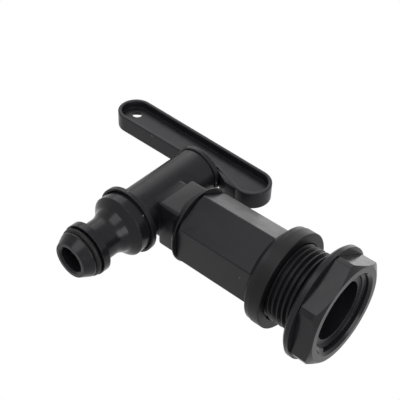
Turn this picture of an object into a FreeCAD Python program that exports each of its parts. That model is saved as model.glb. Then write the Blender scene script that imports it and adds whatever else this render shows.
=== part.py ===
"""Lever tap for a liquid container, drawn as a parametric document in millimetres.

Z rises along the barrel, Y points along the inlet into the container, and the
origin is the middle of the sealing washer's outer face.
"""
import FreeCAD, Part
import math
import os
import re
import Sketcher

# Every driving size: alias, value, meaning.
SIZES = [
    ("barrel_to_seat", 56.0, "barrel axis to the sealing face"),
    ("fit_gap", 0.05, "radial clearance of a turning or pushed-in fit"),
    ("free_gap", 0.3, "clearance between parts that never touch"),
    # barrel and branch
    ("barrel_radius", 8.66, "outside of the barrel"),
    ("plug_radius", 6.5, "outside of the turning plug"),
    ("barrel_top", 18.8, "inlet axis to the top of the barrel"),
    ("barrel_cap", 2.2, "thickness of the barrel's top"),
    ("barrel_foot", 14.75, "inlet axis to the lower lip of the barrel"),
    ("lip_radius", 11.8, "outside of the lower lip"),
    ("lip_wall", 0.8, "wall of the lower lip"),
    ("lip_height", 2.6, "height of the lower lip"),
    ("cup_depth", 1.7, "depth of the cup inside the lower lip"),
    ("branch_radius", 9.3, "outside of the branch"),
    ("branch_reach", 18.9, "barrel axis to the end of the branch"),
    ("branch_bore", 6.1, "bore of the branch"),
    ("collar_radius", 13.4, "round collar at the end of the branch"),
    ("collar_width", 1.6, "width of that collar"),
    # waterway
    ("port_radius", 4.4, "waterway through the seal and the nipple"),
    ("cavity_radius", 4.7, "hollow foot of the plug"),
    ("seal_depth", 2.6, "length of the port seal"),
    # inlet tail
    ("tail_gap", 0.3, "step between the collar and the hexagon"),
    ("hex_flats", 23.0, "hexagon of the tail across its flats"),
    ("hex_length", 29.0, "length of the hexagon"),
    ("corner_cut", 0.25, "flat along each long edge of the hexagon"),
    ("hex_chamfer", 1.1, "chamfer at the free end of the hexagon"),
    ("flare_length", 2.3, "cone between the hexagon and the flange"),
    ("flange_radius", 16.3, "moulded flange that backs the washer"),
    ("flange_width", 1.6, "thickness of that flange"),
    ("thread_major", 13.22, "crest radius of the three-quarter inch pipe thread"),
    ("thread_depth", 1.16, "height of its ridge"),
    ("thread_pitch", 1.814, "pitch of the thread"),
    ("thread_start", -1.6, "sealing face to the first ridge of the thread"),
    ("thread_turns", 9.6, "turns of ridge on the tail"),
    ("tail_reach", 17.1, "sealing face to the open end of the tail"),
    ("tail_bore", 9.95, "bore of the tail"),
    ("tail_floor", 3.0, "wall between the wide bore and the branch collar"),
    # sealing washer, slip washer and nut
    ("washer_radius", 16.6, "outside of the sealing washer"),
    ("washer_width", 3.9, "thickness of the sealing washer"),
    ("slip_radius", 19.2, "outside of the slip washer"),
    ("slip_width", 2.3, "thickness of the slip washer"),
    ("nut_start", 13.0, "sealing face to the back of the nut"),
    ("nut_width", 6.6, "length of the nut"),
    ("nut_flats", 33.0, "nut across its flats"),
    ("nut_corner", 18.5, "radius at which the nut's corners are cut off"),
    ("nut_face", 16.3, "radius of the nut's front face"),
    ("nut_bevel", 1.3, "depth of the nut's front bevel"),
    ("nut_turn", -3.5, "angle of the nut's first corner"),
    ("thread_gap", 0.16, "clearance between the two threads"),
    ("nut_mouth", 0.7, "bevel at the mouth of the nut's thread"),
    # outlet nipple
    ("bell_radius", 10.7, "skirt of the nipple"),
    ("bell_end", 19.2, "inlet axis to the end of the skirt"),
    ("bell_bevel", 0.6, "bevel at the end of the skirt"),
    ("flare_height", 20.6, "inlet axis to the bend between skirt and waist"),
    ("flare_rise", 1.5, "that bend outside the waist"),
    ("flare_round", 2.0, "rounding of that bend"),
    ("waist_radius", 6.7, "waist behind the latch ring"),
    ("waist_start", 24.0, "inlet axis to the straight part of the waist"),
    ("waist_round", 5.0, "rounding where the waist begins"),
    ("ring_start", 30.8, "inlet axis to the latch ring"),
    ("ring_radius", 8.9, "latch ring of the hose connector"),
    ("groove_start", 33.4, "inlet axis to the ring groove"),
    ("groove_floor", 6.5, "floor of the ring groove"),
    ("nose_start", 35.9, "inlet axis to the nose"),
    ("nose_radius", 7.9, "nose at the groove"),
    ("nose_tip", 6.2, "nose at its end"),
    ("nipple_end", 39.6, "inlet axis to the mouth"),
    ("mouth_bevel", 0.55, "bevel of the mouth"),
    ("spigot_length", 4.0, "nipple inside the barrel"),
    ("cord_nose", 2.0, "thickness of the nose ring"),
    # plug and its rings
    ("plug_foot", 8.6, "inlet axis to the lower end of the plug"),
    ("shoulder_gap", 0.2, "plug shoulder below the barrel's top"),
    ("stem_radius", 4.9, "stem of the plug"),
    ("cord_plug", 1.2, "thickness of the plug and joint rings"),
    ("upper_ring", 12.6, "inlet axis to the upper plug ring"),
    ("lower_ring", 7.1, "inlet axis to the lower plug ring"),
    ("key_width", 5.0, "square key of the lever"),
    ("key_foot", 9.6, "inlet axis to the end of the key"),
    ("screw_head", 2.4, "head radius of the key screw"),
    ("screw_shank", 1.3, "shank radius of the key screw"),
    ("screw_seat", 7.2, "inlet axis to the seat of the screw head"),
    ("screw_reach", 8.0, "length of the screw's shank"),
    ("head_height", 1.8, "height of the screw head"),
    ("stop_height", 1.0, "height of the quarter-turn stop"),
    ("stop_angle", 24.0, "width of the stop lug"),
    ("stop_play", 2.0, "play of the lug in its slot"),
    # lever
    ("thrust_width", 0.4, "thrust washer under the lever"),
    ("thrust_radius", 8.0, "outside of the thrust washer"),
    ("hub_radius", 9.2, "disc of the lever"),
    ("hub_width", 2.2, "thickness of that disc"),
    ("wing_width", 6.5, "thickness of the wings"),
    ("web_width", 1.0, "web between the recesses"),
    ("rim_width", 1.4, "rim around the recesses"),
    ("long_reach", 37.3, "barrel axis to the long wing's end circle"),
    ("long_height", 28.0, "inlet axis to that circle"),
    ("long_radius", 6.6, "radius of the long wing's end"),
    ("short_reach", 19.4, "barrel axis to the short wing's end circle"),
    ("short_height", 25.6, "inlet axis to that circle"),
    ("short_radius", 6.9, "radius of the short wing's end"),
    ("long_root", 8.0, "where the long wing leaves the disc"),
    ("short_root", 6.0, "where the short wing leaves the disc"),
    ("short_lift", 1.6, "height of the short wing's root above the disc"),
    ("hole_radius", 1.85, "hanging hole"),
    ("edge_round", 0.4, "rounding of the wing's edges"),
]
ALIASES = {name for name, value, meaning in SIZES}


def new_document():
    """The document and its sheet of sizes."""
    doc = FreeCAD.newDocument("LeverTap")
    sheet = doc.addObject("Spreadsheet::Sheet", "Sizes")
    for row, (name, value, meaning) in enumerate(SIZES, start=1):
        sheet.set(f"A{row}", str(value))
        sheet.set(f"B{row}", meaning)
        sheet.setAlias(f"A{row}", name)
    doc.recompute()
    return doc, sheet


DOC, SHEET = new_document()


def bound(text):
    """An expression with every size name pointed at the sheet."""
    def link(match):
        word = match.group()
        return f"Sizes.{word}" if word in ALIASES else word
    return re.sub(r"[a-z_]+", link, text)


def size(text):
    """The present value of an expression."""
    result = SHEET.evalExpression(bound(text))
    return float(getattr(result, "Value", result))


# How close an edge lies to the place at which it is looked for.
NEAR = 0.01

# Expressions that several parts share.
BARREL_BORE = "(plug_radius + fit_gap)"
BARREL_CEILING = "(barrel_top - barrel_cap)"
CUP_FLOOR = "(barrel_foot - cup_depth)"
TAIL_START = "(barrel_to_seat - branch_reach)"
HEX_CORNER = "(hex_flats / sqrt(3))"
TRUE_RING = "(cord_plug / 2)"
HUB_FLOOR = "(barrel_top + thrust_width)"
HUB_TOP = "(barrel_top + thrust_width + hub_width)"


def new_body(label):
    """An empty body that will become one node."""
    body = DOC.addObject("PartDesign::Body", label)
    body.Label = label
    return body


def plane(body, role):
    """One of the body's own origin planes."""
    for feature in body.Origin.OriginFeatures:
        if feature.Role == role:
            return feature
    raise ValueError(f"{body.Label} has no {role}")


def new_sketch(body, name, role, offset=None):
    """A sketch on an origin plane, moved along its normal by an expression."""
    sketch = body.newObject("Sketcher::SketchObject", f"{body.Label}_{name}")
    sketch.AttachmentSupport = (plane(body, role), [""])
    sketch.MapMode = "FlatFace"
    if offset:
        sketch.setExpression("AttachmentOffset.Base.z", bound(offset))
    return sketch


def pin_point(sketch, geometry, end, across, up):
    """Hold a point of a sketch at a pair of expressions."""
    for kind, text in (("DistanceX", across), ("DistanceY", up)):
        index = sketch.addConstraint(Sketcher.Constraint(kind, -1, 1, geometry, end, size(text)))
        sketch.setExpression(f"Constraints[{index}]", bound(text))


def polygon(sketch, corners):
    """A closed outline through corners given as pairs of expressions."""
    spots = [FreeCAD.Vector(size(across), size(up), 0) for across, up in corners]
    count = len(corners)
    for number in range(count):
        sketch.addGeometry(Part.LineSegment(spots[number], spots[(number + 1) % count]))
    for number in range(count):
        sketch.addConstraint(Sketcher.Constraint("Coincident", number, 2, (number + 1) % count, 1))
    for number, (across, up) in enumerate(corners):
        pin_point(sketch, number, 1, across, up)


def circle(sketch, across, up, radius):
    """A circle with its middle and radius given as expressions."""
    middle = FreeCAD.Vector(size(across), size(up), 0)
    index = sketch.addGeometry(Part.Circle(middle, FreeCAD.Vector(0, 0, 1), size(radius)))
    pin_point(sketch, index, 3, across, up)
    rule = sketch.addConstraint(Sketcher.Constraint("Radius", index, size(radius)))
    sketch.setExpression(f"Constraints[{rule}]", bound(radius))


def turned(body, name, corners, cut=False, angle=360.0, role="XZ_Plane", axis="V_Axis"):
    """Revolve a profile of (radius, height) corners, adding or cutting."""
    sketch = new_sketch(body, f"{name}_profile", role)
    polygon(sketch, corners)
    kind = "PartDesign::Groove" if cut else "PartDesign::Revolution"
    feature = body.newObject(kind, f"{body.Label}_{name}")
    feature.Profile = sketch
    feature.ReferenceAxis = (sketch, [axis])
    feature.Angle = angle
    return feature


def extruded(body, name, sketch, length, cut=False, reverse=False, both=False):
    """Pad or pocket a sketch by an expression."""
    kind = "PartDesign::Pocket" if cut else "PartDesign::Pad"
    feature = body.newObject(kind, f"{body.Label}_{name}")
    feature.Profile = sketch
    feature.setExpression("Length", bound(length))
    feature.Reversed = reverse
    feature.Midplane = both
    return feature


def hexagon(sketch, flats, turn="0", cut="0"):
    """A hexagon from its width across flats, its corners turned from X and cut off."""
    corners = []
    reach = f"{flats} / sqrt(3)"
    sides = (-120, 120) if size(cut) else (0,)
    for number in range(6):
        angle = f"{turn} + {60 * number}"
        for side in sides:
            along = f"({angle} + {side}) * 1deg"
            corners.append((f"{reach} * cos(({angle}) * 1deg) + {cut} * cos({along})",
                            f"{reach} * sin(({angle}) * 1deg) + {cut} * sin({along})"))
    polygon(sketch, corners)


def round_edges(body, name, radius, wanted):
    """Fillet every edge of the body so far for which wanted(edge) is true."""
    DOC.recompute()
    base = body.Tip
    names = [f"Edge{number}" for number, edge in enumerate(base.Shape.Edges, start=1)
             if wanted(edge)]
    if not names:
        raise ValueError(f"{body.Label} {name}: no edge to round")
    feature = body.newObject("PartDesign::Fillet", f"{body.Label}_{name}")
    feature.Base = (base, names)
    feature.setExpression("Radius", bound(radius))
    return feature


def round_circles(body, name, radius, rims):
    """Fillet the full circles at the given pairs of radius and height."""
    def wanted(edge):
        curve = edge.Curve
        if not isinstance(curve, Part.Circle):
            return False
        height = abs(curve.Center.y + curve.Center.z)
        return any(abs(curve.Radius - size(rim)) < NEAR and abs(height - abs(size(up))) < NEAR
                   for rim, up in rims)
    return round_edges(body, name, radius, wanted)


def place(body, across="0", along="0", up="0", along_inlet=False):
    """Stand a body on the barrel axis, or lay its Z along the inlet."""
    if along_inlet:
        turn = FreeCAD.Rotation(FreeCAD.Vector(1, 0, 0), -90)
        body.Placement = FreeCAD.Placement(FreeCAD.Vector(), turn)
    for letter, text in (("x", across), ("y", along), ("z", up)):
        body.setExpression(f"Placement.Base.{letter}", bound(text))


def ring_seal(label, middle, cord, height):
    """A round-section sealing ring about the body's Z axis."""
    body = new_body(label)
    sketch = new_sketch(body, "section", "XZ_Plane")
    circle(sketch, middle, height, f"{cord} / 2")
    feature = body.newObject("PartDesign::Revolution", f"{label}_ring")
    feature.Profile = sketch
    feature.ReferenceAxis = (sketch, ["V_Axis"])
    return body


def thread_ridge(body, name, corners, turns):
    """A helical ridge about the body's Z axis from a (radius, height) profile."""
    sketch = new_sketch(body, f"{name}_profile", "XZ_Plane")
    polygon(sketch, corners)
    feature = body.newObject("PartDesign::AdditiveHelix", f"{body.Label}_{name}")
    feature.Profile = sketch
    feature.ReferenceAxis = (sketch, ["V_Axis"])
    feature.Mode = "pitch-turns-angle"
    feature.setExpression("Pitch", bound("thread_pitch"))
    feature.setExpression("Turns", bound(turns))
    return feature


def tap_body():
    """Barrel with its top, lower lip and side branch, moulded in one."""
    body = new_body("tap_body")
    lip_top = "-(barrel_foot - lip_height)"
    turned(body, "barrel", [
        ("0", "-barrel_foot"), ("lip_radius", "-barrel_foot"),
        ("lip_radius", f"{lip_top} - 1"), ("barrel_radius + 1", lip_top),
        ("barrel_radius", f"{lip_top} + 1"), ("barrel_radius", "barrel_top"), ("0", "barrel_top")])
    branch = new_sketch(body, "branch_profile", "YZ_Plane")
    polygon(branch, [
        ("0", "0"), ("branch_reach", "0"), ("branch_reach", "collar_radius"),
        ("branch_reach - collar_width", "collar_radius"),
        ("branch_reach - collar_width", "branch_radius"), ("0", "branch_radius")])
    feature = body.newObject("PartDesign::Revolution", "tap_body_branch")
    feature.Profile = branch
    feature.ReferenceAxis = (branch, ["H_Axis"])
    turned(body, "bore", [
        ("0", "-barrel_foot"), ("lip_radius - lip_wall", "-barrel_foot"),
        ("lip_radius - lip_wall", f"-{CUP_FLOOR}"), (BARREL_BORE, f"-{CUP_FLOOR}"),
        (BARREL_BORE, BARREL_CEILING), ("stem_radius + fit_gap", BARREL_CEILING),
        ("stem_radius + fit_gap", "barrel_top"), ("0", "barrel_top")], cut=True)
    bore = new_sketch(body, "branch_bore_profile", "XZ_Plane")
    circle(bore, "0", "0", "branch_bore")
    extruded(body, "branch_bore", bore, "branch_reach", cut=True)
    stop = new_sketch(body, "stop_profile", "XZ_Plane")
    polygon(stop, [
        ("stem_radius + 0.4", BARREL_CEILING), (BARREL_BORE, BARREL_CEILING),
        (BARREL_BORE, f"{BARREL_CEILING} + stop_height + fit_gap"),
        ("stem_radius + 0.4", f"{BARREL_CEILING} + stop_height + fit_gap")])
    slot = body.newObject("PartDesign::Groove", "tap_body_stop")
    slot.Profile = stop
    slot.ReferenceAxis = (stop, ["V_Axis"])
    slot.setExpression("Angle", bound("90 + stop_angle + stop_play"))
    place(body, along="-barrel_to_seat")
    return body


def port_seal():
    """Rubber sleeve pressed against the plug by the tail's spigot."""
    body = new_body("inlet_port_seal")
    far = f"{BARREL_BORE} + seal_depth"
    near = "plug_radius * 0.5"
    turned(body, "sleeve", [
        ("port_radius", near), ("branch_bore - fit_gap", near),
        ("branch_bore - fit_gap", far), ("port_radius", far)])
    face = new_sketch(body, "plug_profile", "XZ_Plane")
    circle(face, "0", "0", BARREL_BORE)
    extruded(body, "plug_face", face, "branch_bore * 4", cut=True, both=True)
    place(body, along="-barrel_to_seat", along_inlet=True)
    return body


def inlet_tail():
    """Hexagon, flange and threaded tail, with the spigot that enters the branch."""
    body = new_body("inlet_tail")
    start = f"-{TAIL_START} + tail_gap"
    spigot = f"-(barrel_to_seat - {BARREL_BORE} - seal_depth)"
    flare = "-(washer_width + flange_width + flare_length)"
    wide = f"{start} + tail_floor"
    root = "thread_major - thread_depth"
    turned(body, "core", [
        ("port_radius", spigot), ("branch_bore - fit_gap", spigot),
        ("branch_bore - fit_gap", f"-{TAIL_START}"), ("hex_flats / 2 - 0.6", f"-{TAIL_START}"),
        ("hex_flats / 2 - 0.6", flare), ("hex_flats / sqrt(3) - 0.1", flare),
        ("flange_radius", "-(washer_width + flange_width)"), ("flange_radius", "-washer_width"),
        (root, "-washer_width"), (root, "tail_reach"), ("tail_bore", "tail_reach"),
        ("tail_bore", f"{wide} + 4"), ("port_radius", wide)])
    prism = new_sketch(body, "hexagon_profile", "XY_Plane", offset=start)
    hexagon(prism, "hex_flats", cut="corner_cut")
    circle(prism, "0", "0", "tail_bore + 0.6")
    extruded(body, "hexagon", prism, "hex_length + 0.3")
    corner = f"{HEX_CORNER} + 0.5"
    turned(body, "hex_end", [
        (f"{HEX_CORNER} - hex_chamfer", start), (corner, start),
        (corner, f"{start} + hex_chamfer * 0.6 + 0.3")], cut=True)
    flat = "thread_pitch * 0.08"
    foot = "thread_pitch * 0.42"
    thread_ridge(body, "thread", [
        (f"{root} - 0.3", f"thread_start - {foot}"), (root, f"thread_start - {foot}"),
        ("thread_major", f"thread_start - {flat}"), ("thread_major", f"thread_start + {flat}"),
        (root, f"thread_start + {foot}"), (f"{root} - 0.3", f"thread_start + {foot}")],
        "thread_turns")
    place(body, along_inlet=True)
    return body


def flange_washer():
    """Rubber washer that seals against the container."""
    body = new_body("flange_washer")
    inner = "thread_major + free_gap"
    turned(body, "disc", [
        (inner, "-washer_width"), ("washer_radius", "-washer_width"),
        ("washer_radius", "0"), (inner, "0")])
    round_circles(body, "rim", "0.4", [("washer_radius", "0")])
    place(body, along_inlet=True)
    return body


def slip_washer():
    """Loose plastic washer that the nut turns against."""
    body = new_body("slip_washer")
    inner = "thread_major + free_gap"
    back = "nut_start - slip_width"
    turned(body, "disc", [
        (inner, back), ("slip_radius - 0.8", back), ("slip_radius", f"{back} + 0.8"),
        ("slip_radius", "nut_start"), (inner, "nut_start")])
    place(body, along_inlet=True)
    return body


def backnut():
    """Hexagon nut with its corners cut off and a round front bevel."""
    body = new_body("backnut")
    prism = new_sketch(body, "hexagon_profile", "XY_Plane", offset="nut_start + fit_gap")
    hexagon(prism, "nut_flats", turn="nut_turn")
    bore = "thread_major + thread_gap"
    circle(prism, "0", "0", bore)
    extruded(body, "hexagon", prism, "nut_width - fit_gap")
    front = "nut_start + nut_width"
    outside = "nut_flats / sqrt(3) + 1"
    turned(body, "corners", [
        ("nut_corner", "nut_start - 1"), (outside, "nut_start - 1"),
        (outside, f"{front} + 1"), ("nut_corner", f"{front} + 1")], cut=True)
    turned(body, "bevel", [
        ("nut_face", front), (outside, front), (outside, f"{front} - nut_bevel"),
        ("nut_corner", f"{front} - nut_bevel")], cut=True)
    turned(body, "mouth", [
        ("thread_major - 0.5", front), ("thread_major + nut_mouth + 0.3", front),
        ("thread_major - 0.5", f"{front} - nut_mouth - 0.8")], cut=True)
    crest = "thread_major - thread_depth + thread_gap"
    middle = "thread_start + thread_pitch * 8.5"
    flat = "thread_pitch * 0.06"
    foot = "thread_pitch * 0.36"
    thread_ridge(body, "thread", [
        (f"{bore} + 0.3", f"{middle} - {foot}"), (bore, f"{middle} - {foot}"),
        (crest, f"{middle} - {flat}"), (crest, f"{middle} + {flat}"),
        (bore, f"{middle} + {foot}"), (f"{bore} + 0.3", f"{middle} + {foot}")], "2.4")
    place(body, along_inlet=True)
    return body


def outlet_nipple():
    """Hose-connector nipple with its skirt and the spigot inside the barrel."""
    body = new_body("outlet_nipple")
    waist_end = "-(ring_start - 0.6)"
    flare = "waist_radius + flare_rise"
    turned(body, "core", [
        ("port_radius", f"-{CUP_FLOOR} + spigot_length"),
        ("plug_radius", f"-{CUP_FLOOR} + spigot_length"), ("plug_radius", f"-{CUP_FLOOR}"),
        ("bell_radius", f"-{CUP_FLOOR}"), ("bell_radius", "-(bell_end - bell_bevel)"),
        ("bell_radius - bell_bevel", "-bell_end"), (flare, "-flare_height"),
        ("waist_radius", "-waist_start"), ("waist_radius", waist_end),
        ("ring_radius", "-ring_start"), ("ring_radius", "-groove_start"),
        ("groove_floor", "-groove_start"), ("groove_floor", "-nose_start"),
        ("nose_radius", "-nose_start"), ("nose_radius", "-nose_start - 0.5"),
        ("nose_tip", "-nipple_end"), ("port_radius + mouth_bevel", "-nipple_end"),
        ("port_radius", "-(nipple_end - mouth_bevel)")])
    joint = f"-{CUP_FLOOR} + spigot_length / 2"
    turned(body, "joint_groove", [
        (f"plug_radius + fit_gap - cord_plug", f"{joint} - cord_plug * 0.55"),
        ("plug_radius + 1", f"{joint} - cord_plug * 0.55"),
        ("plug_radius + 1", f"{joint} + cord_plug * 0.55"),
        (f"plug_radius + fit_gap - cord_plug", f"{joint} + cord_plug * 0.55")], cut=True)
    round_circles(body, "flow", "flare_round", [(flare, "-flare_height")])
    round_circles(body, "waist", "waist_round", [("waist_radius", "-waist_start")])
    place(body, along="-barrel_to_seat")
    return body


def rotary_plug():
    """Hollow quarter-turn plug with its side port, stem and square socket."""
    body = new_body("rotary_plug")
    shoulder = f"{BARREL_CEILING} - shoulder_gap"
    turned(body, "core", [
        ("0", "-plug_foot"), ("plug_radius", "-plug_foot"), ("plug_radius", shoulder),
        ("stem_radius", shoulder), ("stem_radius", "barrel_top"), ("0", "barrel_top")])
    lug = new_sketch(body, "lug_profile", "XZ_Plane")
    polygon(lug, [
        ("stem_radius - 0.3", f"{shoulder} - 0.3"), ("plug_radius", f"{shoulder} - 0.3"),
        ("plug_radius", f"{BARREL_CEILING} + stop_height"),
        ("stem_radius + 0.45", f"{BARREL_CEILING} + stop_height"),
        ("stem_radius + 0.45", f"{shoulder} + 0.02"), ("stem_radius - 0.3", f"{shoulder} + 0.02")])
    stop = body.newObject("PartDesign::Revolution", "rotary_plug_lug")
    stop.Profile = lug
    stop.ReferenceAxis = (lug, ["V_Axis"])
    stop.setExpression("Angle", bound("stop_angle"))
    turned(body, "cavity", [
        ("0", "-plug_foot"), ("cavity_radius", "-plug_foot"), ("cavity_radius", "cavity_radius"),
        ("screw_head + free_gap", "cavity_radius + 1"), ("screw_head + free_gap", "screw_seat"),
        ("screw_shank + 0.1", "screw_seat"), ("screw_shank + 0.1", "key_foot"), ("0", "key_foot")],
        cut=True)
    port = new_sketch(body, "port_profile", "XZ_Plane")
    circle(port, "0", "0", "port_radius")
    extruded(body, "port", port, "plug_radius + 1", cut=True)
    for name, height in (("upper", "upper_ring"), ("lower", "-lower_ring")):
        half = "cord_plug * 0.55"
        floor = "plug_radius + fit_gap - cord_plug"
        turned(body, f"{name}_groove", [
            (floor, f"{height} - {half}"), ("plug_radius + 1", f"{height} - {half}"),
            ("plug_radius + 1", f"{height} + {half}"), (floor, f"{height} + {half}")], cut=True)
    socket = new_sketch(body, "socket_profile", "XY_Plane", offset="key_foot")
    half = "(key_width / 2 + fit_gap)"
    polygon(socket, [(f"-{half}", f"-{half}"), (half, f"-{half}"), (half, half), (f"-{half}", half)])
    extruded(body, "socket", socket, "barrel_top", cut=True, reverse=True)
    place(body, along="-barrel_to_seat")
    return body


def spindle_screw():
    """Self-tapping screw that holds the plug to the lever's key."""
    body = new_body("spindle_screw")
    turned(body, "core", [
        ("0", "screw_seat - head_height"), ("screw_head - 0.5", "screw_seat - head_height"),
        ("screw_head", "screw_seat - 0.9"), ("screw_head", "screw_seat"),
        ("screw_shank", "screw_seat"), ("screw_shank", "screw_seat + screw_reach - 1"),
        ("0", "screw_seat + screw_reach")])
    drive = new_sketch(body, "drive_profile", "XY_Plane", offset="screw_seat - head_height")
    blade, length = "0.3", "screw_head - 0.7"
    polygon(drive, [
        (f"-({length})", f"-{blade}"), (length, f"-{blade}"),
        (length, blade), (f"-({length})", blade)])
    extruded(body, "drive", drive, "head_height / 2", cut=True, reverse=True)
    place(body, along="-barrel_to_seat")
    return body


def thrust_washer():
    """Thin washer between the barrel and the lever's disc."""
    body = new_body("thrust_washer")
    turned(body, "disc", [
        ("stem_radius + free_gap", "barrel_top"), ("thrust_radius", "barrel_top"),
        ("thrust_radius", HUB_FLOOR), ("stem_radius + free_gap", HUB_FLOOR)])
    place(body, along="-barrel_to_seat")
    return body


def wing_outline(sketch, inset):
    """Both wings seen from the side: two end circles joined over the hub."""
    ends = [("-long_reach", "long_height", f"long_radius - {inset}"),
            ("short_reach", "short_height", f"short_radius - {inset}")]
    (left_x, left_y, left_r), (right_x, right_y, right_r) = [
        tuple(size(text) for text in end) for end in ends]
    roots = [("-long_root", f"{HUB_TOP} + {inset} - 0.4"),
             ("short_root * 0.4", f"{HUB_TOP} + {inset} - 0.4"),
             ("short_root", f"{HUB_TOP} + {inset} + short_lift")]
    spots = [FreeCAD.Vector(size(across), size(up), 0) for across, up in roots]

    def touch(spot, middle, radius, side):
        """Where the line from a spot touches a circle, below its middle."""
        line = middle - spot
        bend = side * math.asin(radius / line.Length)
        heading = math.atan2(line.y, line.x) + bend
        reach = math.sqrt(line.Length ** 2 - radius ** 2)
        return spot + FreeCAD.Vector(math.cos(heading), math.sin(heading), 0) * reach

    left, right = FreeCAD.Vector(left_x, left_y, 0), FreeCAD.Vector(right_x, right_y, 0)
    low_left = touch(spots[0], left, left_r, 1)
    low_right = touch(spots[2], right, right_r, -1)
    lean = math.atan2(right.y - left.y, right.x - left.x)
    lean += math.asin((right_r - left_r) / (right - left).Length)
    upward = FreeCAD.Vector(-math.sin(lean), math.cos(lean), 0)
    high_left, high_right = left + upward * left_r, right + upward * right_r

    def arc(middle, radius, start, stop):
        """An arc that runs anticlockwise between two spots."""
        first = math.atan2(start.y - middle.y, start.x - middle.x)
        last = math.atan2(stop.y - middle.y, stop.x - middle.x)
        ring = Part.Circle(middle, FreeCAD.Vector(0, 0, 1), radius)
        return Part.ArcOfCircle(ring, first, last if last > first else last + 2 * math.pi)

    lines = [(low_left, spots[0]), (spots[0], spots[1]), (spots[1], spots[2]),
             (spots[2], low_right)]
    for first, last in lines:
        sketch.addGeometry(Part.LineSegment(first, last))
    sketch.addGeometry(arc(right, right_r, low_right, high_right))
    sketch.addGeometry(Part.LineSegment(high_right, high_left))
    sketch.addGeometry(arc(left, left_r, high_left, low_left))
    for number in range(3):
        sketch.addConstraint(Sketcher.Constraint("Coincident", number, 2, number + 1, 1))
        pin_point(sketch, number + 1, 1, *roots[number])
    for first, start, second, stop in ((3, 2, 4, 1), (4, 2, 5, 1), (5, 2, 6, 1), (6, 2, 0, 1)):
        sketch.addConstraint(Sketcher.Constraint("Tangent", first, start, second, stop))
    for number, (across, up, radius) in ((6, ends[0]), (4, ends[1])):
        pin_point(sketch, number, 3, across, up)
        rule = sketch.addConstraint(Sketcher.Constraint("Radius", number, size(radius)))
        sketch.setExpression(f"Constraints[{rule}]", bound(radius))


def lever():
    """Wing lever: hub disc and key below, two recessed wings above."""
    body = new_body("lever")
    wings = new_sketch(body, "wings_profile", "YZ_Plane")
    wing_outline(wings, "0")
    extruded(body, "wings", wings, "wing_width", both=True)
    for name, sign, reverse in (("near", 1, True), ("far", -1, False)):
        recess = new_sketch(body, f"{name}_recess_profile", "YZ_Plane",
                            offset=f"{sign} * web_width / 2")
        wing_outline(recess, "rim_width")
        extruded(body, f"{name}_recess", recess, "wing_width", cut=True, reverse=reverse)
    face = size("wing_width") / 2

    def on_face(edge):
        """Whether an edge lies in one of the two broad faces."""
        box = edge.BoundBox
        return abs(abs(box.XMin) - face) < NEAR and abs(abs(box.XMax) - face) < NEAR
    round_edges(body, "edges", "edge_round", on_face)
    turned(body, "hub", [
        ("0", HUB_FLOOR), ("hub_radius - 0.3", HUB_FLOOR), ("hub_radius", f"{HUB_FLOOR} + 0.3"),
        ("hub_radius", f"{HUB_TOP} - 0.6"), ("hub_radius - 0.6", HUB_TOP), ("0", HUB_TOP)])
    key = new_sketch(body, "key_profile", "XY_Plane", offset="key_foot + fit_gap")
    half = "key_width / 2"
    polygon(key, [(f"-{half}", f"-{half}"), (half, f"-{half}"), (half, half), (f"-{half}", half)])
    extruded(body, "key", key, f"{HUB_FLOOR} - key_foot")
    turned(body, "pilot", [
        ("0", "key_foot"), ("screw_shank", "key_foot"),
        ("screw_shank", "screw_seat + screw_reach - 1"), ("0", "screw_seat + screw_reach")],
        cut=True)
    hole = new_sketch(body, "hole_profile", "YZ_Plane")
    circle(hole, "-long_reach - 0.2", "long_height + 0.8", "hole_radius")
    extruded(body, "hole", hole, "wing_width", cut=True, both=True)
    place(body, along="-barrel_to_seat")
    return body


def check_parts(bodies):
    """Stop at the first sub-part that is broken."""
    for item in DOC.Objects:
        if "Invalid" in item.State or "Error" in item.State:
            raise ValueError(f"{item.Label} is not valid: {item.getStatusString()}")
    for body in bodies:
        if body.Shape.isNull() or not body.Shape.isValid() or not body.Shape.Solids:
            raise ValueError(f"{body.Label} has no valid solid")


def write_parts(bodies):
    """One STEP file for each node."""
    os.makedirs("parts", exist_ok=True)
    for body in bodies:
        body.Shape.exportStep(f"parts/{body.Label}.step")


def main():
    """Build the tap and write its parts."""
    joint = f"-({CUP_FLOOR} - spigot_length / 2)"
    middle = f"{BARREL_BORE} - {TRUE_RING}"
    bodies = [
        tap_body(), port_seal(), inlet_tail(), flange_washer(), slip_washer(), backnut(),
        outlet_nipple(), rotary_plug(), spindle_screw(), thrust_washer(), lever(),
        ring_seal("plug_upper_ring", middle, "cord_plug", "upper_ring"),
        ring_seal("plug_lower_ring", middle, "cord_plug", "-lower_ring"),
        ring_seal("outlet_joint_ring", middle, "cord_plug", joint),
        ring_seal("nose_ring", "groove_floor + cord_nose / 2", "cord_nose",
                  "-(groove_start + nose_start) / 2")]
    for body in bodies[-4:]:
        place(body, along="-barrel_to_seat")
    DOC.recompute()
    check_parts(bodies)
    write_parts(bodies)


if __name__ == "__main__":
    main()
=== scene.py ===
"""Finish of the lever tap: its plastics and rubbers, its square branch and a plain studio."""
import math

import bmesh
import bpy
from bpy.props import FloatProperty, FloatVectorProperty, PointerProperty
from mathutils import Matrix, Vector


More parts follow.
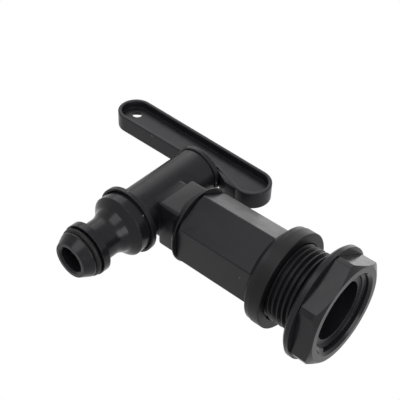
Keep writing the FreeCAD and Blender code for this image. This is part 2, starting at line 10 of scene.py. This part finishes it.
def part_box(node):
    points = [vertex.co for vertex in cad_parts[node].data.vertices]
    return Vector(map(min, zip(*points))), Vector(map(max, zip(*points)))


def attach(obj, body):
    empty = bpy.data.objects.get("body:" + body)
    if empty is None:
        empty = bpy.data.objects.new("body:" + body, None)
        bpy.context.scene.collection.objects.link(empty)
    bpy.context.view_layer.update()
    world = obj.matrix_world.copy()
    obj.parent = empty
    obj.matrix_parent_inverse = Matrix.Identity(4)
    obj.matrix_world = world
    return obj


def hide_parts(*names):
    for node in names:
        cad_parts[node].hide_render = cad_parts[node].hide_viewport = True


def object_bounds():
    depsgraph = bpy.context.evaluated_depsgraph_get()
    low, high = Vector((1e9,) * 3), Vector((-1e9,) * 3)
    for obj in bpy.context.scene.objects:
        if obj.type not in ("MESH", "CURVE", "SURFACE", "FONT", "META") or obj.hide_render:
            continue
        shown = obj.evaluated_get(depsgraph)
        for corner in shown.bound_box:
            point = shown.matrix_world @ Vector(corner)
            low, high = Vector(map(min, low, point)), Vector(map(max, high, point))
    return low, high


bl_info = {
    "name": "Lever Tap Finish",
    "version": (1, 0, 0),
    "blender": (4, 5, 0),
    "location": "3D View > Sidebar > Lever Tap",
    "description": "Finishes the parts of a lever tap and sets up a studio around it",
    "category": "Object",
}

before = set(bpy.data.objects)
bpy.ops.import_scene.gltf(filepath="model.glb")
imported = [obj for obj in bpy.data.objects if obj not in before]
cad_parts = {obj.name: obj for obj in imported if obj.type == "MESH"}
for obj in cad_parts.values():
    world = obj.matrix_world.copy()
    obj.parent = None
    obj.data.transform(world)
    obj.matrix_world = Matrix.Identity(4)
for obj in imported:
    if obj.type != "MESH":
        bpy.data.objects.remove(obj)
CAD_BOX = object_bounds()

# Directions, units and fineness of the shapes.
ACROSS, ALONG, UP = Vector((1, 0, 0)), Vector((0, 1, 0)), Vector((0, 0, 1))
MM = 0.001
ROUND_STEPS = 96
FLARE_STEPS = 10
EDGE_STEPS = 4
HEEL_EDGE_STEPS = 3
MERGE = 0.002 * MM
SHARP_ANGLE = math.radians(32)

# How fast the branch opens out to its collar: 1 is a straight cone.
FLARE_BEND = 1.15

# The heel's outline: share of its length, and of its depth below a straight line.
HEEL_OUTLINE = ((0.0, 0.0), (0.3, 0.55), (0.62, 1.0), (1.0, 0.0), (1.0, -0.8), (0.5, -0.6))

# Soft boxes: the way to each from the tap, its side in metres and its power in watts.
LAMP_DISTANCE = 0.7
LAMPS = {
    "side_box": {"way": (0.58, -0.58, 0.58), "side": 0.5, "power": 1.2},
    "top_box": {"way": (0.0, -0.36, 0.93), "side": 0.5, "power": 0.9},
    "low_box": {"way": (0.93, 0.0, -0.36), "side": 0.5, "power": 2.4},
    "end_box": {"way": (0.35, 0.9, -0.1), "side": 0.4, "power": 2.5},
}


# ---------------------------------------------------------------- settings

def colour(name, description, default):
    """A colour that a user may change."""
    return FloatVectorProperty(name=name, description=description, default=default,
                               subtype="COLOR", size=3, min=0.0, max=1.0)


def length(name, description, default):
    """A length that a user may change, in metres."""
    return FloatProperty(name=name, description=description, default=default,
                         unit="LENGTH", subtype="DISTANCE", min=0.0, precision=6)


def share(name, description, default):
    """A share from nothing to all."""
    return FloatProperty(name=name, description=description, default=default,
                         subtype="FACTOR", min=0.0, max=1.0)


class TapColours(bpy.types.PropertyGroup):
    """Colours of the tap's plastics, rubbers and metal."""
    body: colour("Body", "Plastic of the barrel and branch", (0.0080, 0.0080, 0.0096))
    tail: colour("Tail", "Plastic of the threaded tail", (0.0084, 0.0084, 0.0100))
    nut: colour("Nut", "Plastic of the backnut", (0.0088, 0.0088, 0.0104))
    lever: colour("Lever", "Plastic of the lever", (0.0088, 0.0088, 0.0108))
    nipple: colour("Nipple", "Plastic of the hose nipple", (0.0072, 0.0072, 0.0086))
    washer: colour("Slip washer", "Plastic of the slip washer", (0.0084, 0.0084, 0.0100))
    rubber: colour("Rubber", "Rubber of the rings and the sealing washer",
                   (0.0064, 0.0064, 0.0068))
    plug: colour("Plug", "Acetal of the turning plug", (0.62, 0.61, 0.56))
    steel: colour("Screw", "Bright steel of the key screw", (0.60, 0.60, 0.62))
    dust: colour("Dust", "Fine dust on the plastic", (0.20, 0.20, 0.20))


class TapFinish(bpy.types.PropertyGroup):
    """Surface of the finishes."""
    satin: share("Satin", "Roughness of the satin mouldings", 0.33)
    gloss: share("Gloss", "Roughness of the polished mouldings", 0.22)
    matt: share("Matt", "Roughness of the rubber", 0.45)
    grain_size: length("Grain size", "Width of one grain of the moulded skin", 0.00035)
    grain_height: length("Grain height", "Height of that grain", 0.000006)
    soft_edge: length("Soft edge", "Radius that moulded edges seem to have", 0.00025)
    dust: share("Dust", "Share of the surface with specks of dust", 0.12)


class TapBody(bpy.types.PropertyGroup):
    """Sizes of the barrel with its square branch."""
    barrel: length("Barrel", "Radius of the barrel", 8.66 * MM)
    lip: length("Lip", "Radius of the lower lip", 11.8 * MM)
    lip_height: length("Lip height", "Height of the straight part of the lip", 1.6 * MM)
    lip_wall: length("Lip wall", "Wall of the lower lip", 0.8 * MM)
    cup: length("Cup", "Depth of the cup in the lower lip", 1.7 * MM)
    cap: length("Cap", "Thickness of the barrel's top", 2.2 * MM)
    bore: length("Bore", "Radius in which the plug turns", 6.55 * MM)
    stem: length("Stem hole", "Radius of the hole for the stem", 4.95 * MM)
    branch_bore: length("Branch bore", "Radius of the waterway in the branch", 6.1 * MM)
    neck: length("Neck", "Radius of the branch inside the square", 7.0 * MM)
    collar: length("Collar", "Radius of the round collar", 13.4 * MM)
    collar_width: length("Collar width", "Width of the collar's rim", 0.4 * MM)
    flare: length("Flare", "Length of the curve that runs out to the collar", 5.4 * MM)
    block: length("Square", "Width of the square of the branch", 16.4 * MM)
    block_start: length("Square start", "Barrel axis to the start of the square", 7.6 * MM)
    block_edge: length("Square edge", "Rounding of the square's edges", 1.2 * MM)
    block_drop: length("Square drop", "How far the square reaches lower than high", 1.6 * MM)
    block_step: length("Square step", "Step down from the square to its root", 0.9 * MM)


class TapLever(bpy.types.PropertyGroup):
    """Sizes of the heel under the short wing."""
    start: length("Heel start", "Barrel axis to the start of the heel", 6.0 * MM)
    end: length("Heel end", "Barrel axis to the end of the heel", 17.4 * MM)
    top: length("Heel top", "Inlet axis to the heel's start", 22.6 * MM)
    foot: length("Heel foot", "Inlet axis to the heel's end", 18.75 * MM)
    depth: length("Heel depth", "How far the heel stands below the wing", 1.3 * MM)
    width: length("Heel width", "Width of the heel across the wing", 6.4 * MM)
    edge: length("Heel edge", "Rounding of the heel's edges", 0.25 * MM)


class TapStage(bpy.types.PropertyGroup):
    """Camera, lamps and floor."""
    camera_place: FloatVectorProperty(
        name="Camera place", description="Where the camera stands",
        default=(0.205819, 0.103831, -0.169481), subtype="TRANSLATION", unit="LENGTH")
    camera_aim: FloatVectorProperty(
        name="Camera aim", description="Direction in which the camera looks",
        default=(-0.662513, -0.480114, 0.574950), subtype="DIRECTION")
    camera_top: FloatVectorProperty(
        name="Camera top", description="Direction that is up in the picture",
        default=(0.748516, -0.453332, 0.483956), subtype="DIRECTION")
    camera_lens: FloatProperty(name="Lens", description="Focal length", default=83.818,
                               unit="CAMERA", min=1.0)
    room_light: FloatProperty(name="Room light", description="Strength of the white room",
                              default=0.6, min=0.0)
    floor_drop: length("Floor drop", "Height of the tap's middle above the floor", 0.45)
    floor_colour: colour("Floor", "Colour of the floor", (0.82, 0.82, 0.82))


# ---------------------------------------------------------------- node helpers

class Tree:
    """A node tree that is built from left to right."""

    def __init__(self, tree):
        self.tree = tree
        self.count = 0

    def add(self, kind, inputs=None, **settings):
        """Add a node, set its options and fill its inputs with links or values."""
        node = self.tree.nodes.new(kind)
        node.location = (self.count * 190, -(self.count % 3) * 230)
        self.count += 1
        for name, value in settings.items():
            setattr(node, name, value)
        for socket, value in (inputs or {}).items():
            target = node.inputs[socket]
            if isinstance(value, bpy.types.NodeSocket):
                self.tree.links.new(value, target)
            else:
                target.default_value = value
        return node

    def math(self, operation, first, second=0.5, third=0.5, clamp=False):
        """The result of a sum on values or links."""
        node = self.add("ShaderNodeMath", {0: first, 1: second, 2: third},
                        operation=operation, use_clamp=clamp)
        return node.outputs[0]

    def span(self, value, low, high, start=0.0, end=1.0):
        """A value brought from one range into another, held at its ends."""
        node = self.add("ShaderNodeMapRange", {
            "Value": value, "From Min": low, "From Max": high, "To Min": start, "To Max": end})
        return node.outputs["Result"]

    def mix(self, factor, first, second):
        """A colour between two."""
        node = self.add("ShaderNodeMix", {0: factor, 6: first, 7: second}, data_type="RGBA")
        return node.outputs[2]


def new_group(name, inputs, outputs):
    """A shader node group with named sockets, and its tree, input and output nodes."""
    group = bpy.data.node_groups.new(name, "ShaderNodeTree")
    for label, kind, value in inputs:
        socket = group.interface.new_socket(label, in_out="INPUT", socket_type=kind)
        if value is not None:
            socket.default_value = value
    for label, kind in outputs:
        group.interface.new_socket(label, in_out="OUTPUT", socket_type=kind)
    tree = Tree(group)
    start = tree.add("NodeGroupInput")
    end = group.nodes.new("NodeGroupOutput")
    return group, tree, start.outputs, end.inputs


def moulded_skin():
    """Fine spark-eroded grain, flow clouding and roughness that changes over the part."""
    group, tree, start, end = new_group(
        "moulded_skin",
        [("Vector", "NodeSocketVector", None), ("Colour", "NodeSocketColor", None),
         ("Roughness", "NodeSocketFloat", 0.4), ("Grain", "NodeSocketFloat", 3000.0),
         ("Clouding", "NodeSocketFloat", 0.3)],
        [("Colour", "NodeSocketColor"), ("Roughness", "NodeSocketFloat"),
         ("Height", "NodeSocketFloat")])
    pit_scale, pit_height, grain_height = 0.7, 0.5, 0.7
    flow_scale, cloud_bright, cloud_rough, grain_rough = 140.0, 0.5, 0.18, 0.10
    fine = tree.add("ShaderNodeTexNoise", {
        "Vector": start["Vector"], "Scale": start["Grain"], "Detail": 3.0, "Roughness": 0.6})
    pits = tree.add("ShaderNodeTexVoronoi", {
        "Vector": start["Vector"], "Scale": tree.math("MULTIPLY", start["Grain"], pit_scale)},
        feature="SMOOTH_F1")
    height = tree.math("MULTIPLY_ADD", pits.outputs["Distance"], pit_height,
                       tree.math("MULTIPLY", fine.outputs["Fac"], grain_height))
    flow = tree.add("ShaderNodeTexNoise", {
        "Vector": start["Vector"], "Scale": flow_scale, "Detail": 4.0, "Roughness": 0.55,
        "Distortion": 0.8})
    cloud = tree.span(flow.outputs["Fac"], 0.3, 0.7, -1.0, 1.0)
    change = tree.math("MULTIPLY", cloud, start["Clouding"])
    bright = tree.math("MULTIPLY_ADD", change, cloud_bright, 1.0)
    shade = tree.add("ShaderNodeMix", {0: 1.0, 6: start["Colour"]}, data_type="RGBA",
                     blend_type="MULTIPLY")
    grey = tree.add("ShaderNodeCombineColor", {0: bright, 1: bright, 2: bright})
    tree.tree.links.new(grey.outputs[0], shade.inputs[7])
    rough = tree.math("MULTIPLY_ADD", change, cloud_rough, start["Roughness"])
    uneven = tree.math("SUBTRACT", fine.outputs["Fac"], 0.5)
    rough = tree.math("MULTIPLY_ADD", uneven, grain_rough, rough, clamp=True)
    tree.tree.links.new(shade.outputs[2], end["Colour"])
    tree.tree.links.new(rough, end["Roughness"])
    tree.tree.links.new(height, end["Height"])
    return group


def loose_dust():
    """Sparse pale specks and a thin film that settle on the part."""
    group, tree, start, end = new_group(
        "loose_dust",
        [("Vector", "NodeSocketVector", None), ("Amount", "NodeSocketFloat", 0.2)],
        [("Mask", "NodeSocketFloat")])
    speck_scale, speck_share, speck_strength = 420.0, 0.4, 0.5
    film_scale, film_strength = 900.0, 0.10
    specks = tree.add("ShaderNodeTexVoronoi", {"Vector": start["Vector"], "Scale": speck_scale})
    near = tree.span(specks.outputs["Distance"], 0.10, 0.16, 1.0, 0.0)
    parted = tree.add("ShaderNodeSeparateColor", {0: specks.outputs["Color"]})
    limit = tree.math("MULTIPLY", start["Amount"], speck_share)
    chosen = tree.math("LESS_THAN", parted.outputs[0], limit)
    film = tree.add("ShaderNodeTexNoise", {
        "Vector": start["Vector"], "Scale": film_scale, "Detail": 5.0, "Roughness": 0.7})
    haze = tree.span(film.outputs["Fac"], 0.55, 0.85, 0.0, film_strength)
    speck = tree.math("MULTIPLY", tree.math("MULTIPLY", near, chosen), speck_strength)
    mask = tree.math("ADD", speck, tree.math("MULTIPLY", haze, start["Amount"]), clamp=True)
    tree.tree.links.new(mask, end["Mask"])
    return group


def soft_edges():
    """A normal that is rounded over the edges, and a mask of where they are."""
    group, tree, start, end = new_group(
        "soft_edges", [("Radius", "NodeSocketFloat", 0.0002)],
        [("Normal", "NodeSocketVector"), ("Edge", "NodeSocketFloat")])
    rounded = tree.add("ShaderNodeBevel", {"Radius": start["Radius"]}, samples=6)
    plain = tree.add("ShaderNodeNewGeometry")
    turn = tree.add("ShaderNodeVectorMath", {0: rounded.outputs[0], 1: plain.outputs["Normal"]},
                    operation="DOT_PRODUCT")
    edge = tree.span(turn.outputs["Value"], 0.999, 0.90)
    tree.tree.links.new(rounded.outputs[0], end["Normal"])
    tree.tree.links.new(edge, end["Edge"])
    return group


def placed(tree, group, inputs):
    """A group's node in a material."""
    node = tree.add("ShaderNodeGroup")
    node.node_tree = group
    for name, value in inputs.items():
        if isinstance(value, bpy.types.NodeSocket):
            tree.tree.links.new(value, node.inputs[name])
        else:
            node.inputs[name].default_value = value
    return node.outputs


def new_material(name):
    """An empty node material and its tree."""
    material = bpy.data.materials.new(name)
    material.use_nodes = True
    material.node_tree.nodes.clear()
    return material, Tree(material.node_tree)


def moulded_plastic(name, base, roughness, clouding=0.3, grain=1.0, edge_highlight=0.25):
    """A moulded plastic or rubber with grain, soft edges lightened as a painted highlight, and a
    little dust.
    """
    # The first two numbers set how much paler than the base the painted edge highlight is.
    highlight_gain, highlight_lift, dust_rough, grain_strength, black_specular = 2.5, 0.02, 0.4, 0.6, 0.18
    finish = bpy.context.scene.tap_finish
    colours = bpy.context.scene.tap_colours
    groups = bpy.data.node_groups
    material, tree = new_material(name)
    where = tree.add("ShaderNodeTexCoord").outputs["Object"]
    skin = placed(tree, groups["moulded_skin"], {
        "Vector": where, "Colour": (*base, 1.0), "Roughness": roughness,
        "Grain": 1.0 / finish.grain_size, "Clouding": clouding})
    dust = placed(tree, groups["loose_dust"], {"Vector": where, "Amount": finish.dust})
    edge = placed(tree, groups["soft_edges"], {"Radius": finish.soft_edge})
    # Painted highlight: the rounded edges are mixed towards a paler colour, as if light caught
    # them.
    highlit_colour = tree.mix(tree.math("MULTIPLY", edge["Edge"], edge_highlight), skin["Colour"],
                    (*[min(1.0, value * highlight_gain + highlight_lift) for value in base], 1.0))
    dusty = tree.mix(dust["Mask"], highlit_colour, (*colours.dust, 1.0))
    rough = tree.math("MULTIPLY_ADD", dust["Mask"], dust_rough, skin["Roughness"], clamp=True)
    bump = tree.add("ShaderNodeBump", {
        "Height": skin["Height"], "Normal": edge["Normal"], "Strength": grain_strength,
        "Distance": finish.grain_height * grain})
    shader = tree.add("ShaderNodeBsdfPrincipled", {
        "Base Color": dusty, "Roughness": rough, "IOR": 1.5,
        "Specular IOR Level": black_specular,
        "Normal": bump.outputs["Normal"]})
    tree.add("ShaderNodeOutputMaterial", {"Surface": shader.outputs[0]})
    return material


def bright_steel(name, base):
    """Rolled and plated screw steel with fine turning lines."""
    line_scale, line_stretch, line_shade = 900.0, 14.0, 0.8
    material, tree = new_material(name)
    where = tree.add("ShaderNodeTexCoord").outputs["Object"]
    stretched = tree.add("ShaderNodeMapping", {
        "Vector": where, "Scale": (1.0, 1.0, line_stretch)}).outputs[0]
    lines = tree.add("ShaderNodeTexNoise", {
        "Vector": stretched, "Scale": line_scale, "Detail": 3.0})
    rough = tree.span(lines.outputs["Fac"], 0.3, 0.7, 0.2, 0.38)
    shader = tree.add("ShaderNodeBsdfPrincipled", {
        "Base Color": tree.mix(lines.outputs["Fac"], (*base, 1.0),
                               (*[value * line_shade for value in base], 1.0)),
        "Roughness": rough, "Metallic": 1.0})
    tree.add("ShaderNodeOutputMaterial", {"Surface": shader.outputs[0]})
    return material


def shown(tree):
    """One where a ray shows the background: straight, in a gloss or through something."""
    path = tree.add("ShaderNodeLightPath").outputs
    straight = tree.math("MAXIMUM", path["Is Camera Ray"], path["Is Transmission Ray"])
    return tree.math("MAXIMUM", straight, path["Is Glossy Ray"])


def dress(node, material):
    """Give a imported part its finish."""
    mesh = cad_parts[node].data
    mesh.materials.clear()
    mesh.materials.append(material)


# ---------------------------------------------------------------- shapes

def lathe(profile, middle, axis, out):
    """A closed solid of revolution from pairs of radius and height along the axis."""
    work = bmesh.new()
    spots = [work.verts.new(middle + out * radius + axis * height) for radius, height in profile]
    chain = [work.edges.new(pair) for pair in zip(spots, spots[1:])]
    bmesh.ops.spin(work, geom=spots + chain, cent=middle, axis=axis, angle=math.tau,
                   steps=ROUND_STEPS, use_merge=True)
    bmesh.ops.remove_doubles(work, verts=work.verts, dist=MERGE)
    bmesh.ops.recalc_face_normals(work, faces=work.faces)
    return work


def round_off(work, radius, steps):
    """Round every edge of a bmesh."""
    bmesh.ops.bevel(work, geom=work.edges, offset=radius, segments=steps, profile=0.5,
                    affect="EDGES", material=-1, clamp_overlap=True)


def block(low, high, bevel):
    """A box between two corners with its edges rounded."""
    work = bmesh.new()
    bmesh.ops.create_cube(work, size=1.0)
    bmesh.ops.scale(work, verts=work.verts, vec=high - low)
    bmesh.ops.translate(work, verts=work.verts, vec=(low + high) / 2)
    round_off(work, bevel, EDGE_STEPS)
    return work


def as_object(name, work):
    """An object made from a bmesh, which is then freed."""
    mesh = bpy.data.meshes.new(name)
    work.to_mesh(mesh)
    work.free()
    thing = bpy.data.objects.new(name, mesh)
    bpy.context.scene.collection.objects.link(thing)
    return thing


def carved(name, added, cut=()):
    """One closed mesh from solids that are added up, less others."""
    first = as_object(name, added[0])
    tools = [(as_object("tool", work), "UNION") for work in added[1:]]
    tools += [(as_object("tool", work), "DIFFERENCE") for work in cut]
    for tool, operation in tools:
        change = first.modifiers.new("carve", "BOOLEAN")
        change.object = tool
        change.operation = operation
        change.solver = "EXACT"
    graph = bpy.context.evaluated_depsgraph_get()
    mesh = bpy.data.meshes.new_from_object(first.evaluated_get(graph))
    first.modifiers.clear()
    first.data = mesh
    for tool, operation in tools:
        bpy.data.objects.remove(tool)
    return first


def finished(piece, material, body):
    """A new piece gets its shading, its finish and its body."""
    piece.data.shade_smooth()
    piece.data.set_sharp_from_angle(angle=SHARP_ANGLE)
    piece.data.materials.clear()
    piece.data.materials.append(material)
    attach(piece, body)


def barrel_line():
    """The point of the barrel's axis at the height of the inlet."""
    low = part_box("tap_body")[0]
    return Vector((0, low.y + bpy.context.scene.tap_body.lip, 0))


# ---------------------------------------------------------------- operators

class TAP_OT_finishes(bpy.types.Operator):
    """Build the effects that several finishes share"""
    bl_idname = "tap.finishes"
    bl_label = "Shared effects"

    def execute(self, context):
        for make in (moulded_skin, loose_dust, soft_edges):
            make()
        return {"FINISHED"}


class TAP_OT_body(bpy.types.Operator):
    """Build and finish the barrel with its square branch"""
    bl_idname = "tap.body"
    bl_label = "Body"

    def execute(self, context):
        scene = context.scene
        shape = scene.tap_body
        low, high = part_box("tap_body")
        middle = barrel_line()
        reach = high.y - middle.y
        outside = [self.barrel(shape, middle, low.z, high.z), self.neck(shape, middle, reach),
                   *self.squares(shape, middle, reach)]
        hollows = [self.bore(shape, middle, low.z, high.z), self.waterway(shape, middle, reach)]
        piece = carved("body_moulding", outside, hollows)
        finished(piece, moulded_plastic("body_plastic", scene.tap_colours.body,
                                        scene.tap_finish.satin), "tap")
        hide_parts("tap_body")
        return {"FINISHED"}

    def barrel(self, shape, middle, foot, top):
        """Outside of the barrel and its lower lip."""
        step = foot + shape.lip_height
        return lathe([
            (0, foot), (shape.lip, foot), (shape.lip, step), (shape.barrel + MM, step + MM),
            (shape.barrel, step + 2 * MM), (shape.barrel, top), (0, top)], middle, UP, ACROSS)

    def neck(self, shape, middle, reach):
        """Round core of the branch, which opens out to the collar."""
        rise, start = shape.collar - shape.neck, reach - shape.collar_width - shape.flare
        parts = [step / FLARE_STEPS for step in range(FLARE_STEPS + 1)]
        curve = [(shape.neck + rise * (1 - (1 - part) ** FLARE_BEND), start + shape.flare * part)
                 for part in parts]
        return lathe([(0, 0), (shape.neck, 0), *curve, (shape.collar, reach), (0, reach)],
                     middle, ALONG, ACROSS)

    def squares(self, shape, middle, reach):
        """Square of the branch, and its lower root that runs into the barrel."""
        half, edge = shape.block / 2, shape.block_edge
        inner, foot = half - shape.block_step, -half - shape.block_drop
        start = middle.y + shape.block_start
        square = block(Vector((foot, start, -half)),
                       Vector((half, middle.y + reach - edge, half)), edge)
        root = block(Vector((foot + shape.block_step, middle.y, -inner)),
                     Vector((inner, start + 2 * edge, inner)), 2 * edge)
        return square, root

    def bore(self, shape, middle, foot, top):
        """Hollow of the barrel, its lower cup and the hole for the stem."""
        cup, rim = foot + shape.cup, shape.lip - shape.lip_wall
        return lathe([
            (0, foot - MM), (rim, foot - MM), (rim, cup), (shape.bore, cup),
            (shape.bore, top - shape.cap), (shape.stem, top - shape.cap),
            (shape.stem, top + MM), (0, top + MM)], middle, UP, ACROSS)

    def waterway(self, shape, middle, reach):
        """Hollow of the branch."""
        return lathe([(0, 0), (shape.branch_bore, 0), (shape.branch_bore, reach + MM),
                      (0, reach + MM)], middle, ALONG, ACROSS)


class TAP_OT_tail(bpy.types.Operator):
    """Finish the hexagon tail and its thread"""
    bl_idname = "tap.tail"
    bl_label = "Inlet tail"

    def execute(self, context):
        scene = context.scene
        dress("inlet_tail", moulded_plastic("tail_plastic", scene.tap_colours.tail,
                                            scene.tap_finish.satin))
        return {"FINISHED"}


class TAP_OT_nut(bpy.types.Operator):
    """Finish the backnut and the slip washer"""
    bl_idname = "tap.nut"
    bl_label = "Backnut and slip washer"

    def execute(self, context):
        scene = context.scene
        dress("backnut", moulded_plastic("nut_plastic", scene.tap_colours.nut,
                                         scene.tap_finish.gloss))
        dress("slip_washer", moulded_plastic("washer_plastic", scene.tap_colours.washer,
                                             scene.tap_finish.satin))
        return {"FINISHED"}


class TAP_OT_lever(bpy.types.Operator):
    """Finish the lever"""
    bl_idname = "tap.lever"
    bl_label = "Lever"

    def execute(self, context):
        scene = context.scene
        dress("lever", moulded_plastic("lever_plastic", scene.tap_colours.lever,
                                       scene.tap_finish.satin))
        return {"FINISHED"}


class TAP_OT_heel(bpy.types.Operator):
    """Build the heel that fills out the lower edge of the short wing"""
    bl_idname = "tap.heel"
    bl_label = "Heel of the short wing"

    def execute(self, context):
        heel = context.scene.tap_lever
        corner = barrel_line() - ACROSS * heel.width / 2
        start = corner + ALONG * heel.start + UP * heel.top
        stop = corner + ALONG * heel.end + UP * heel.foot
        work = bmesh.new()
        spots = [work.verts.new(start.lerp(stop, part) - UP * heel.depth * drop)
                 for part, drop in HEEL_OUTLINE]
        grown = bmesh.ops.extrude_face_region(work, geom=[work.faces.new(spots)])["geom"]
        moved = [part for part in grown if isinstance(part, bmesh.types.BMVert)]
        bmesh.ops.translate(work, verts=moved, vec=ACROSS * heel.width)
        bmesh.ops.recalc_face_normals(work, faces=work.faces)
        round_off(work, heel.edge, HEEL_EDGE_STEPS)
        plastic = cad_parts["lever"].data.materials[0]
        finished(as_object("short_wing_heel", work), plastic, "handle")
        return {"FINISHED"}


class TAP_OT_nipple(bpy.types.Operator):
    """Finish the hose nipple"""
    bl_idname = "tap.nipple"
    bl_label = "Outlet nipple"

    def execute(self, context):
        scene = context.scene
        dress("outlet_nipple", moulded_plastic("nipple_plastic", scene.tap_colours.nipple,
                                               scene.tap_finish.gloss))
        return {"FINISHED"}


class TAP_OT_seals(bpy.types.Operator):
    """Finish the rubber rings and the sealing washer"""
    bl_idname = "tap.seals"
    bl_label = "Rubber seals"

    def execute(self, context):
        scene = context.scene
        rubber = moulded_plastic("seal_rubber", scene.tap_colours.rubber,
                                 scene.tap_finish.matt, clouding=0.15, grain=0.5)
        for node in ("flange_washer", "nose_ring", "inlet_port_seal", "outlet_joint_ring",
                     "plug_upper_ring", "plug_lower_ring"):
            dress(node, rubber)
        return {"FINISHED"}


class TAP_OT_inside(bpy.types.Operator):
    """Finish the plug, its screw and the thrust washer"""
    bl_idname = "tap.inside"
    bl_label = "Plug and screw"

    def execute(self, context):
        scene = context.scene
        # The acetal gets no painted edge highlight.
        acetal = moulded_plastic("plug_acetal", scene.tap_colours.plug,
                                 scene.tap_finish.satin, clouding=0.1, edge_highlight=0.0)
        dress("rotary_plug", acetal)
        dress("thrust_washer", acetal)
        dress("spindle_screw", bright_steel("screw_steel", scene.tap_colours.steel))
        return {"FINISHED"}


class TAP_OT_stage(bpy.types.Operator):
    """Set up the floor, the white room, the lamps and the camera"""
    bl_idname = "tap.stage"
    bl_label = "Studio"

    def execute(self, context):
        stage = context.scene.tap_stage
        middle = sum(CAD_BOX, Vector()) / 2
        self.room(context, stage)
        self.floor(context, stage, middle)
        self.lamps(context, middle)
        self.camera(context, stage)
        context.scene.view_settings.view_transform = "Standard"
        return {"FINISHED"}

    def room(self, context, stage):
        """A white room that lights the tap softly and shows white behind it."""
        world = bpy.data.worlds.new("white_room")
        world.use_nodes = True
        world.node_tree.nodes.clear()
        tree = Tree(world.node_tree)
        light = tree.add("ShaderNodeBackground", {
            "Color": (1.0, 1.0, 1.0, 1.0), "Strength": stage.room_light})
        white = tree.add("ShaderNodeBackground", {
            "Color": (1.0, 1.0, 1.0, 1.0), "Strength": 1.0})
        both = tree.add("ShaderNodeMixShader", {
            0: shown(tree), 1: light.outputs[0], 2: white.outputs[0]})
        tree.add("ShaderNodeOutputWorld", {"Surface": both.outputs[0]})
        context.scene.world = world

    def floor(self, context, stage, middle):
        """A plain pale floor well below the tap."""
        half_width, cloud_scale, cloud_shade = 3.0, 3.0, 0.985
        material, tree = new_material("pale_floor")
        speckle = tree.add("ShaderNodeTexNoise", {
            "Vector": tree.add("ShaderNodeTexCoord").outputs["Object"], "Scale": cloud_scale})
        base = stage.floor_colour
        shader = tree.add("ShaderNodeBsdfPrincipled", {
            "Base Color": tree.mix(speckle.outputs["Fac"], (*base, 1.0),
                                   (*[value * cloud_shade for value in base], 1.0)),
            "Roughness": 0.9})
        white = tree.add("ShaderNodeEmission", {"Color": (1.0, 1.0, 1.0, 1.0)})
        both = tree.add("ShaderNodeMixShader", {
            0: shown(tree), 1: shader.outputs[0], 2: white.outputs[0]})
        tree.add("ShaderNodeOutputMaterial", {"Surface": both.outputs[0]})
        mesh = bpy.data.meshes.new("floor")
        work = bmesh.new()
        bmesh.ops.create_grid(work, x_segments=1, y_segments=1, size=half_width)
        bmesh.ops.translate(work, verts=work.verts,
                            vec=(middle.x, middle.y, middle.z - stage.floor_drop))
        work.to_mesh(mesh)
        work.free()
        mesh.materials.append(material)
        floor = bpy.data.objects.new("floor", mesh)
        context.scene.collection.objects.link(floor)

    def lamps(self, context, middle):
        """Square soft boxes that face the tap."""
        for name, box in LAMPS.items():
            light = bpy.data.lights.new(name, "AREA")
            light.shape = "SQUARE"
            light.size = box["side"]
            light.energy = box["power"]
            lamp = bpy.data.objects.new(name, light)
            way = Vector(box["way"]).normalized()
            lamp.location = middle + way * LAMP_DISTANCE
            lamp.rotation_euler = way.to_track_quat("Z", "Y").to_euler()
            lamp.visible_camera = False
            context.scene.collection.objects.link(lamp)

    def camera(self, context, stage):
        """The camera that sees the tap from below its outlet, rolled to its side."""
        lens = bpy.data.cameras.new("camera")
        lens.sensor_width = 36.0
        lens.lens = stage.camera_lens
        lens.clip_start = 0.01
        lens.clip_end = 20.0
        camera = bpy.data.objects.new("camera", lens)
        back = -Vector(stage.camera_aim).normalized()
        up = Vector(stage.camera_top).normalized()
        right = up.cross(back).normalized()
        up = back.cross(right)
        turn = Matrix((right, up, back)).transposed().to_4x4()
        camera.matrix_world = Matrix.Translation(stage.camera_place) @ turn
        context.scene.collection.objects.link(camera)
        context.scene.camera = camera


class TAP_PT_panel(bpy.types.Panel):
    """Lists the steps of the tap's finish"""
    bl_idname = "TAP_PT_panel"
    bl_label = "Lever Tap"
    bl_space_type = "VIEW_3D"
    bl_region_type = "UI"
    bl_category = "Lever Tap"

    def draw(self, context):
        for step in STEPS:
            self.layout.operator(step.bl_idname)
        for name in SETTINGS:
            settings = getattr(context.scene, name)
            box = self.layout.box()
            for field in settings.bl_rna.properties.keys():
                if field not in ("rna_type", "name"):
                    box.prop(settings, field)


SETTINGS = {"tap_colours": TapColours, "tap_finish": TapFinish, "tap_body": TapBody,
            "tap_lever": TapLever, "tap_stage": TapStage}
STEPS = (TAP_OT_finishes, TAP_OT_body, TAP_OT_tail, TAP_OT_nut, TAP_OT_lever, TAP_OT_heel,
         TAP_OT_nipple, TAP_OT_seals, TAP_OT_inside, TAP_OT_stage)


def register():
    """Register the settings, the steps and the panel."""
    for kind in (*SETTINGS.values(), *STEPS, TAP_PT_panel):
        bpy.utils.register_class(kind)
    for name, kind in SETTINGS.items():
        setattr(bpy.types.Scene, name, PointerProperty(type=kind))


def unregister():
    """Take them away again."""
    for name in SETTINGS:
        delattr(bpy.types.Scene, name)
    for kind in reversed((*SETTINGS.values(), *STEPS, TAP_PT_panel)):
        bpy.utils.unregister_class(kind)


def main():
    """Run every step."""
    register()
    for step in STEPS:
        family, name = step.bl_idname.split(".")
        getattr(getattr(bpy.ops, family), name)()


if __name__ == "__main__":
    main()
